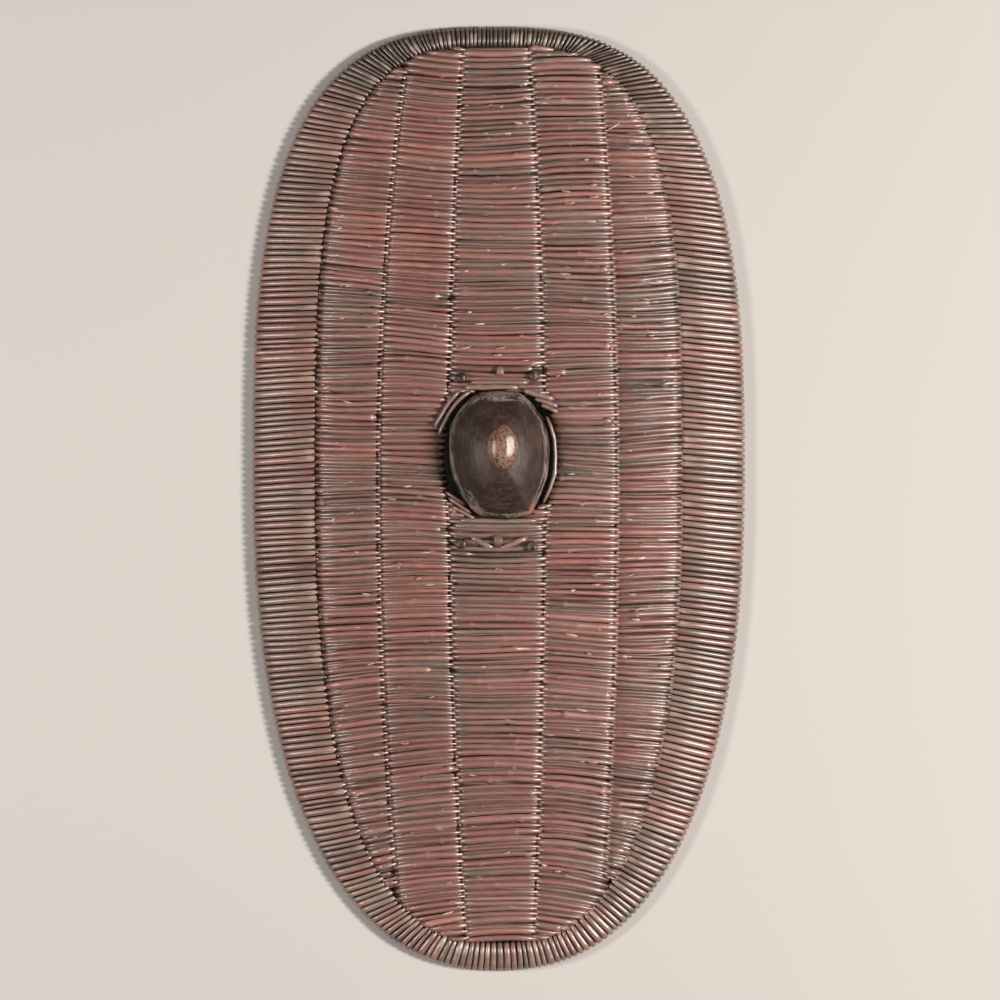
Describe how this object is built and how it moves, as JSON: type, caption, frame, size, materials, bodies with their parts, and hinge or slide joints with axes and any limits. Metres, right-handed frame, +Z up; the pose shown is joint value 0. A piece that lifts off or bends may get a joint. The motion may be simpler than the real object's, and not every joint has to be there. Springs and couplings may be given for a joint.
{
  "type": "rattan shield",
  "caption": "Long oval war shield of packed red-brown cane strands with a bound rim, and a hollow carved wooden boss over a hand grip",
  "frame": {"origin": "on the floor below the middle of the shield's length and width, the shield lying face up on its rim", "axes": "+X across the shield to the right of its face, +Y along it towards its broad end, +Z up out of the face"},
  "size_m": [0.56, 1.07, 0.126],
  "materials": {
    "cane": "dyed red-brown cane, rubbed and darkened",
    "rim_cane": "dyed cane, polished by handling",
    "boss_wood": "carved dark hardwood, rubbed",
    "grip_wood": "carved dark hardwood, worn by the hand",
    "peg_wood": "whittled dark wood",
    "lashing_cane": "undyed split cane, grey-brown"
  },
  "bodies": {
    "root": {"weave_outer_left": "cane", "weave_inner_left": "cane", "weave_centre_upper": "cane", "weave_centre_lower": "cane", "weave_inner_right": "cane", "weave_outer_right": "cane", "rim": "rim_cane", "boss": "boss_wood", "grip": "grip_wood", "peg_upper_left": "peg_wood", "peg_upper_middle": "peg_wood", "peg_upper_right": "peg_wood", "peg_lower_left": "peg_wood", "peg_lower_middle": "peg_wood", "peg_lower_right": "peg_wood", "lashing_right": "lashing_cane", "lashing_left_inner": "lashing_cane", "lashing_left_outer": "lashing_cane", "lashing_shoulder_upper": "lashing_cane", "lashing_shoulder_middle": "lashing_cane", "lashing_shoulder_lower": "lashing_cane", "lashing_above_near": "lashing_cane", "lashing_above_far": "lashing_cane", "lashing_below_near": "lashing_cane", "lashing_below_far": "lashing_cane"}
  },
  "joints": []
}
